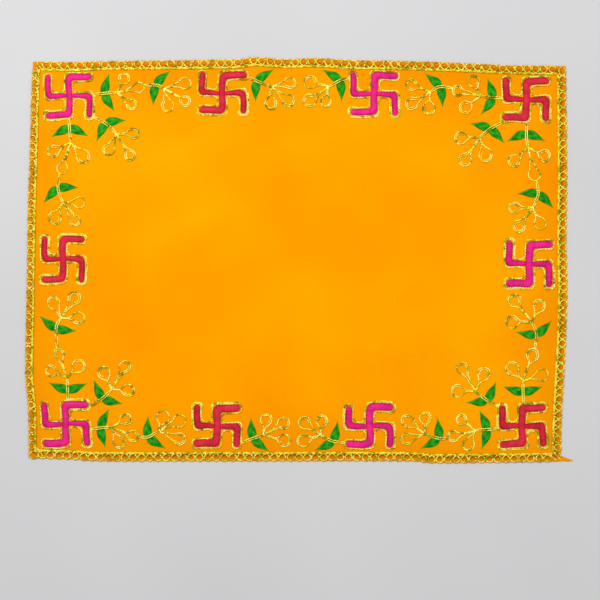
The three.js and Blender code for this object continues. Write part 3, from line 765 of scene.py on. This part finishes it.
def silk_thread(name, dark, body, light):
    """Silky embroidery thread: each stitch a little lighter or darker, with painted shade at the
    edges.
    """
    material, tree, shader = new_material(name, {
        "Roughness": 0.42, "Specular IOR Level": 0.4, "Specular Tint": light,
        "Sheen Weight": 0.06, "Sheen Roughness": 0.3, "Sheen Tint": light})
    shade = ramp(tree, mark(tree, "crest"), [(0.08, dark), (0.45, body), (0.95, light)])
    uneven = ramp(tree, noise(tree, 110.0), [(0.36, (0.7, 0.7, 0.7, 1)), (0.58, WHITE)])
    shade = mixed(tree, 0.8, shade, uneven, "MULTIPLY")
    coat(tree, shader, shade, noise(tree, 2600.0, detail=1.0), 0.25, 0.03 * MM)
    return material


THREADS = {
    "pink": silk_thread("pink_silk", colour(128, 8, 56), colour(230, 33, 127), colour(252, 52, 155)),
    "red": silk_thread("red_silk", colour(108, 12, 28), colour(209, 39, 65), colour(234, 56, 82)),
}
for number, motif in enumerate(MOTIFS):
    fill = swastika_fill(motif, 31 + number).piece("fill_stitches_" + motif["name"],
                                                   THREADS[motif["thread"]])
    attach(fill, "root")
    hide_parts("fill_" + motif["name"])


# Leaves. Pairs worked in green satin stitch, slanted from the middle of each leaf to its edges,
# before the stem is laid over their bases.
LEAF_LONG = 22.8 * MM
LEAF_HIGH = 0.95 * MM
LEAF_SLANT = 4.2 * MM
LEAF_STITCH = 0.42 * MM
LEAF_RIDGE = 0.06 * MM
# Half width, in mm, along the leaf: the full side towards the root and the straight one
LEAF_FULL = [(0, 4.4), (2.5, 5.9), (5, 6.4), (8, 6.2), (11, 5.3), (14, 3.9), (17, 2.4), (20, 1.0),
             (22.8, 0.12)]
LEAF_STRAIGHT = [(0, 2.8), (3, 3.6), (6, 3.8), (9, 3.4), (12.5, 2.5), (16, 1.5), (19.5, 0.7),
                 (22.8, 0.12)]
LEAF_RIB = 1.3 * MM  # how far the middle line bows towards the full side
# The sprays of each motif: root on its gold, the leaves' place, the fork, where the leaves point
# in degrees, and the middle and outer radius of each of three loops, all in grid steps
SPRAYS = {
    "top_left": [
        ((95.6, 94), (105, 93.5), (116.6, 92.6), (78, -62),
         [(124.3, 78.7, 6.2), (138.6, 87.3, 6.2), (131.4, 104.5, 6.2)]),
        ((145, 84.6), (156.3, 85.4), (163.8, 88.3), (47, -99),
         [(184.9, 83.5, 6.5), (167.7, 105.5, 7), (185.4, 101.2, 6.2)]),
        ((95.6, 118.4), (106.1, 123.7), (116.6, 134.2), (10, -118),
         [(133.8, 133.2, 6.4), (109, 149.5, 6.7), (130, 155.2, 6.2)]),
        ((68.8, 119), (69.7, 128.4), (70.7, 142.3), (-155, -23),
         [(53.5, 151.4, 6.9), (83.1, 156.2, 7.5), (62.1, 168.6, 6.2)]),
        ((59.5, 175), (58.3, 188.7), (63, 202.4), (-136, 3),
         [(79.3, 202.4, 6.2), (54.9, 217.7, 7.4), (75, 220.6, 6.5)]),
    ],
    "bottom_left": [
        ((57.3, 347.3), (56.4, 327.8), (61.1, 318.2), (-9, 145),
         [(54, 302.9, 7), (74.5, 298.1, 7.2), (78.4, 318.2, 7)]),
        ((67.8, 400.6), (67.8, 389.3), (66.9, 377.8), (161, 17),
         [(51.1, 370.7, 6.4), (78.8, 365.9, 7.2), (59.2, 353.2, 6)]),
        ((90.8, 406.5), (103.2, 397.9), (111.8, 389.3), (118, -17),
         [(104.2, 373, 7), (124.8, 366.8, 6.5), (128.1, 390.3, 6.8)]),
        ((91.3, 429.5), (101.3, 427.6), (110.9, 427.6), (68, -78),
         [(125.7, 419, 6.4), (119, 441.9, 7), (132.9, 435.9, 6.4)]),
        ((139.6, 436.7), (148.7, 436.7), (158, 431), (92, -35),
         [(163, 417, 7.2), (179.1, 420.8, 7.2), (179.1, 439, 6.9)]),
    ],
    "bottom_2": [
        ((243.2, 442.8), (253.8, 438), (263.3, 435.1), (98, -41),
         [(266.2, 419.8, 6.5), (283.4, 423.2, 7), (284.4, 440.4, 6.9)]),
    ],
    "bottom_3": [
        ((345, 442.8), (332.5, 440.9), (320.6, 435.6), (75, -152),
         [(322, 420.8, 6.5), (304.8, 422.7, 7), (303.4, 440.4, 7)]),
    ],
    "bottom_right": [
        ((446.6, 438.6), (437.8, 438), (425.3, 434.2), (91, -148),
         [(425.3, 417.9, 6.5), (407.6, 420.8, 7.2), (407.1, 438.5, 7)]),
        ((497, 429.5), (486.4, 429.5), (475, 430.4), (110, -103),
         [(461.6, 419.4, 6.2), (468.3, 444.3, 7), (453.4, 436.2, 6.3)]),
        ((498.9, 406.5), (486.4, 399.8), (475, 391.2), (-172, 62),
         [(457.7, 390.7, 7.1), (462.5, 368.3, 6.7), (483.6, 374, 7.2)]),
        ((523.3, 402.5), (522.8, 391.2), (522.8, 380.7), (167, 13),
         [(512.3, 368.3, 7.5), (541.9, 375, 6.9), (532.4, 354.9, 7)]),
        ((535.2, 348.5), (536.2, 334), (531.9, 322), (175, 41),
         [(514.7, 300.5, 7.3), (539.1, 305.8, 7), (512.3, 322, 7.1)]),
    ],
    "top_right": [
        ((537, 181.5), (537.9, 194.5), (532.8, 207.7), (178, -41),
         [(514.2, 207.7, 6.6), (519, 226.4, 7), (540, 223.5, 6.7)]),
        ((527.6, 124.1), (526.1, 134.2), (527.6, 147.6), (-159, -20),
         [(514.2, 161, 7), (544.3, 155.7, 6.6), (534.3, 174.4, 7)]),
        ((503.2, 122.2), (489.3, 129.4), (479.7, 137.5), (163, -42),
         [(460.6, 138, 6.9), (464.9, 160, 7), (485.5, 154.8, 7.5)]),
        ((501.7, 97.8), (492.2, 97.8), (480.7, 95.9), (104, -124),
         [(473.5, 81.1, 6.5), (457.7, 91.1, 6.2), (465.4, 107.4, 6.7)]),
        ((452.6, 88), (439.5, 87), (430.1, 92.1), (138, -81),
         [(411.7, 84.9, 6.5), (411.7, 103.6, 7), (428.7, 108.4, 6.9)]),
    ],
    "top_3": [
        ((348.8, 77.7), (339.2, 81.1), (328.7, 86.8), (146, -83),
         [(310, 82, 7.2), (309.6, 100.7, 7.2), (325.8, 101.7, 6)]),
    ],
    "top_2": [
        ((247.8, 77.5), (257.6, 81.6), (271, 86.8), (37, -96),
         [(289.6, 83, 6.9), (271, 103.6, 6.7), (288.2, 100.7, 7)]),
    ],
}
# Share from the leaf's middle to its edge, and height there as a share of the whole
LEAF_CROWN = [(-0.16, 0.5), (-0.03, 0.9), (0.2, 1.0), (0.5, 0.96), (0.82, 0.7), (1.0, 0.0)]


def leaf_half(bag, base, turn, hand, full, rng):
    """One side of a leaf: slanted threads from its middle line to its edge."""
    outline = smooth_line(np.array(LEAF_FULL if full else LEAF_STRAIGHT) * MM, parts=10)
    bow = LEAF_RIB if full else -LEAF_RIB
    along = np.arange(-0.9 * LEAF_SLANT, LEAF_LONG * 0.985, LEAF_STITCH / 2)
    share, crown = np.array(LEAF_CROWN).T
    slant = LEAF_SLANT * np.minimum(1 - along / LEAF_LONG, 1)
    out = along[:, None] + slant[:, None] * share
    out = np.where(out < 0, 0.12 * out, out)
    loose = by_thread(rng, len(along), 0.12) * MM
    edge = np.interp(out[:, -1], outline[:, 0], outline[:, 1]) + loose
    edge = np.maximum(edge, 0.12 * MM)
    rib = bow * np.sin(pi * np.clip(out / LEAF_LONG, 0, 1))
    aside = (share * edge[:, None] + (1 - share) * rib) * hand
    plan = turned(np.column_stack([out.ravel(), aside.ravel()]), turn) + base
    plan = plan.reshape(len(along), len(share), 2)
    ridge = np.where(np.arange(len(along)) % 2 == 0, LEAF_RIDGE, -LEAF_RIDGE)[:, None]
    swell = np.clip(edge / (3.6 * MM), 0.08, 1) ** 0.5 * np.clip(0.45 + out[:, 0] / (9 * MM), 0, 1)
    height = crown * (LEAF_HIGH * swell[:, None] + ridge) - SUNK
    spots = np.dstack([plan, satin_top(plan) + height])
    tone = by_thread(rng, len(along), 0.5, 1)
    streak = 0.2 * np.sin(out / (1.9 * MM) + 3 * share + 2 * hand)
    # Random tone and streaks per stitch, yellower towards the tip; the raised rows are painted
    # lighter and the lower ones darker, as light and shade.
    tone_and_shade = 0.46 + 0.36 * tone + streak + 2.0 * ridge / MM
    tone_and_shade = np.clip(tone_and_shade + 0.45 * np.clip(out / LEAF_LONG - 0.7, 0, 1) / 0.3, 0, 1)
    number = bag.numbers(len(along), len(share))[:, ::hand]
    faces = np.concatenate([grid_faces(number)[:, OVER], grid_faces(number[:, [0, -1]])])
    bag.put(spots, tone_and_shade, faces.tolist() + [number[0].tolist(), number[-1, ::-1].tolist()])


LEAF_GREEN = silk_thread("leaf_green", colour(4, 96, 16), colour(16, 154, 34), colour(84, 172, 24))
for number, (root, leaf, fork, turns, loops) in enumerate(sum(SPRAYS.values(), [])):
    rng = np.random.default_rng(61 + number)
    bag = Bag()
    base = place(leaf)
    to_root = place(root) - base
    for turn in turns:
        angle = radians(turn) + LEAN
        root_side = cos(angle) * to_root[1] - sin(angle) * to_root[0]
        for hand in (1, -1):
            leaf_half(bag, base, degrees(angle), hand, hand * root_side > 0, rng)
    pair = bag.piece(f"leaf_stitches_{number + 1:02d}", LEAF_GREEN)
    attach(pair, "root")
    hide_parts(f"leaves_{number + 1:02d}")


# Gold cord. Twisted metallised cord couched round each swastika and run on as the sprays: a
# double stem over the leaves to a fork, and from there round three teardrop loops.
OUTLINE_CORD = dict(ply=0.48 * MM, off=0.50 * MM, lay=6.4 * MM, squash=0.85)
SPRAY_CORD = dict(ply=0.44 * MM, off=0.41 * MM, lay=5.6 * MM, squash=0.85)
STEM_CORD = dict(ply=0.40 * MM, off=0.32 * MM, lay=5.0 * MM, squash=0.9)
SECOND_CORD = dict(ply=0.48 * MM, off=0.0, lay=6.0 * MM, squash=0.9)
OUTLINE_OFF = 1.1 * MM  # from the fill's edge to the middle of the cord
SECOND_OFF = 1.35 * MM  # from there to the thinner cord that runs beside it in places
SECOND_CLEAR = 13 * MM  # how far it stays from the panel's edge, clear of the lace
OUTLINE_STRAY = 0.22 * MM
LOOP_STRAY = 0.42 * MM
CORD_LIFT = 0.75 * MM
STEM_OVER = 0.85 * MM  # a stem lies this much higher on the leaves
STEM_REACH = 7 * MM  # and comes down again over this length
STEM_HALF = 1.05 * MM  # from the stem's middle to each of its two cords
STEM_DRAWN = 5 * MM  # the two are drawn together over this length at each end
LOOP_NECK = 0.6 * MM  # half the width of a loop where it leaves the fork
INNER_SHARE = 0.7  # size of a loop's inner strand as a share of the loop
ARM_CUTS = (5.6, 3.6, 3.6, 6.4, 6.2)  # mm by which the corners of an arm are rounded, in order


def outline_line(motif, seed):
    """Round the swastika, arm by arm from the top, with its corners rounded off."""
    upright = motif["stroke"] * MM / 2 + OUTLINE_OFF
    bar = CROSSBAR_SHARE * motif["stroke"] * MM / 2 + OUTLINE_OFF
    right, up = (motif[size] * STEP / 2 + OUTLINE_OFF for size in ("wide", "tall"))
    middle = place((motif["x"], motif["y"]))
    line = []
    for quarter in range(4):
        odd = quarter % 2 == 1
        side, top, half, next_half = (up, right, bar, upright) if odd else (right, up, upright, bar)
        if quarter == 3:
            side -= motif["short"] * MM
        waist = WAIST * (bar - OUTLINE_OFF)
        bay = (half - waist, next_half) if odd else (half, next_half - waist)
        arm = [(-half, top), (side, top), (side, top - 2 * half), (half, top - 2 * half), bay]
        line += [(corner, cut * MM) for corner, cut in zip(turned(arm, -90 * quarter), ARM_CUTS)]
    path = []
    for i, (corner, cut) in enumerate(line):
        back = line[i - 1][0] - corner
        ahead = line[(i + 1) % len(line)][0] - corner
        room = min(norm(back), norm(ahead))
        cut = min(cut, 0.48 * room)
        start = corner + back / norm(back) * cut
        end = corner + ahead / norm(ahead) * cut
        for t in np.linspace(0, 1, 9):
            path.append(start * (1 - t) ** 2 + corner * 2 * t * (1 - t) + end * t ** 2)
    path = spaced(np.array(path), 2 * GRAIN, closed=True)
    return turned(swayed(path, seed), motif["turn"]) + middle


def wander(line, size, rng):
    """Moves a closed plan line aside a little, as a hand-guided cord lies."""
    knots = max(int(lengths_along(line)[-1] / (6 * MM)), 3)
    pushes = rng.uniform(-size, size, (knots + 1, 2))
    pushes[-1] = pushes[0]
    at = np.linspace(0, knots, len(line))
    return line + read_off(pushes, range(knots + 1), at)


def second_cords(outline, rng):
    """Stretches of a thinner cord, just outside the closed line of the first."""
    way = np.roll(outline, -1, axis=0) - np.roll(outline, 1, axis=0)
    outside = outline + SECOND_OFF * left_of(way)
    quarter = len(outline) // 4
    for k in range(4):
        first = k * quarter + rng.integers(0, quarter // 3)
        stretch = outside[first:first + rng.integers(quarter // 3, 2 * quarter // 3)]
        if inset(stretch).min() > SECOND_CLEAR:
            yield stretch


def loop_line(fork, loop, rng):
    """A teardrop from the fork round one loop and back."""
    middle, fork = place(loop[:2]), place(fork)
    round_off = loop[2] * STEP - 0.8 * MM
    toward = fork - middle
    far = norm(toward)
    toward = toward / far
    aside = np.array([-toward[1], toward[0]])
    gap = max(far - round_off, 0.6 * MM)
    pinched = rng.uniform(0.5, 0.9)
    spread = rng.uniform(0.6, 1.2) * MM
    first, second = fork - toward * 0.4 * gap, fork - toward * pinched * gap
    corners = [fork, first + aside * LOOP_NECK, second + aside * spread]
    for turn in (34, 66, 102, 141, 180, 219, 258, 294, 326):
        angle = radians(turn)
        narrow = 1 - 0.12 * (1 - pinched) * sin(angle) ** 2
        across = round_off * narrow * sin(angle)
        corners.append(middle + toward * round_off * cos(angle) + aside * across)
    return np.array(corners + [second - aside * spread, first - aside * LOOP_NECK])


def stem(bag, spray, lines):
    """From the nearest gold over the leaves to the fork: two cords, drawn together at both ends."""
    root, leaf, fork = (place(spot) for spot in spray[:3])
    near = np.concatenate(lines)
    root = near[np.argmin(norm(near - root, axis=1))]
    line = spaced(smooth_line([root, leaf, fork]), GRAIN)
    gone = lengths_along(line)
    side = left_of(np.gradient(line, axis=0))
    hump = norm(line - leaf, axis=1) / STEM_REACH
    over = STEM_OVER * np.clip(1 - hump ** 2, 0, 1) ** 0.7
    ends = np.clip(np.minimum(gone, gone[-1] - gone) / STEM_DRAWN, 0, 1)
    for hand in (1, -1):
        aside = hand * STEM_HALF * (0.45 + 0.55 * ends)
        # Painted highlight, stronger on one of the two cords than the other.
        bag.cord(lay_on(line + side * aside[:, None], CORD_LIFT + over), STEM_CORD, phase=hand,
                 shine=0.16 + 0.08 * hand)


CORD_GOLD = gold_thread("cord_gold", colour(96, 70, 0), colour(196, 154, 4),
                        colour(255, 246, 60), colour(255, 254, 124), sheen_strength=1.0,
                        glints=((330.0, 0.57), (130.0, 0.52)))
for number, motif in enumerate(MOTIFS):
    rng = np.random.default_rng(101 + number)
    bag = Bag()
    outline = spaced(outline_line(motif, 31 + number), GRAIN, closed=True)
    outline = wander(outline, OUTLINE_STRAY, rng)
    bag.cord(lay_on(outline, CORD_LIFT), OUTLINE_CORD, closed=True)
    for stretch in second_cords(outline, rng):
        # Painted highlight on the thinner cord.
        bag.cord(lay_on(stretch, CORD_LIFT), SECOND_CORD, plies=1, shine=0.15)
    sprays = SPRAYS.get(motif["name"], [])
    loops = [[spaced(smooth_line(loop_line(fork, loop, rng), closed=True), GRAIN, closed=True)
              for loop in own] for root, leaf, fork, turns, own in sprays]
    for spray, own in zip(sprays, loops):
        others = [line for group in loops if group is not own for line in group]
        stem(bag, spray, [outline, *others])
        for line in own:
            line = wander(line, LOOP_STRAY, rng)
            # Painted highlight on the loops and, more, on their inner strands.
            bag.cord(lay_on(line, CORD_LIFT), SPRAY_CORD, closed=True, shine=0.1)
            if rng.random() < 0.9:
                middle = line[len(line) // 4:3 * len(line) // 4].mean(axis=0)
                first = int(len(line) * rng.uniform(0.16, 0.32))
                second = first + int(len(line) * rng.uniform(0.34, 0.56))
                inner = middle + (line[first:second] - middle) * INNER_SHARE
                bag.cord(lay_on(inner, CORD_LIFT + 0.2 * MM), SECOND_CORD, plies=1, shine=0.3)
    gold = bag.piece("gold_cord_" + motif["name"], CORD_GOLD)
    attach(gold, "root")
    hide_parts("gold_" + motif["name"])


# Table, light and camera. A plain pale table, a soft light from the upper left with a larger
# and weaker one opposite, and the camera straight above.
TABLE_SIZE = 14.0
TABLE_DROP = 0.15 * MM
VIEW_CENTRE = (300, 300)
VIEW_WIDE = 600 * STEP
LENS = 85
SENSOR = 36


def table():
    half = TABLE_SIZE / 2
    corners = [(x * half, y * half, -TABLE_DROP) for x, y in ((-1, -1), (1, -1), (1, 1), (-1, 1))]
    made = make_mesh("table_top", np.array(corners), [[0, 1, 2, 3]], {})
    material, tree, shader = new_material("pale_table", {"Roughness": 0.8,
                                                         "Specular IOR Level": 0.2})
    shade = ramp(tree, noise(tree, 3.0), [(0.3, (0.60, 0.60, 0.61, 1)), (0.7, (0.64, 0.64, 0.65, 1))])
    tree.links.new(shade, shader.inputs["Base Color"])
    made.data.materials.append(material)
    return made


def soft_light(name, spot, size, power):
    lamp = bpy.data.lights.new(name, "AREA")
    lamp.shape = "SQUARE"
    lamp.size = size
    lamp.energy = power
    made = show(name, lamp)
    made.location = spot
    made.rotation_euler = made.location.normalized().to_track_quat("Z", "Y").to_euler()


table()
soft_light("key_light", (-0.5, 0.95, 2.0), 0.7, 36)
soft_light("fill_light", (1.3, -0.8, 1.8), 1.6, 9)
world = bpy.data.worlds.new("studio")
world.use_nodes = True
backdrop = world.node_tree.nodes["Background"].inputs
backdrop["Color"].default_value = WHITE
backdrop["Strength"].default_value = 0.38
scene = bpy.context.scene
scene.world = world
scene.view_settings.view_transform = "Standard"

camera = bpy.data.cameras.new("camera")
camera.lens = LENS
camera.sensor_width = SENSOR
camera_object = show("camera", camera)
centre = place(VIEW_CENTRE)
camera_object.location = (centre[0], centre[1], CLOTH_THICK + VIEW_WIDE * LENS / SENSOR)
camera_object.rotation_euler = (0, 0, LEAN)
scene.camera = camera_object
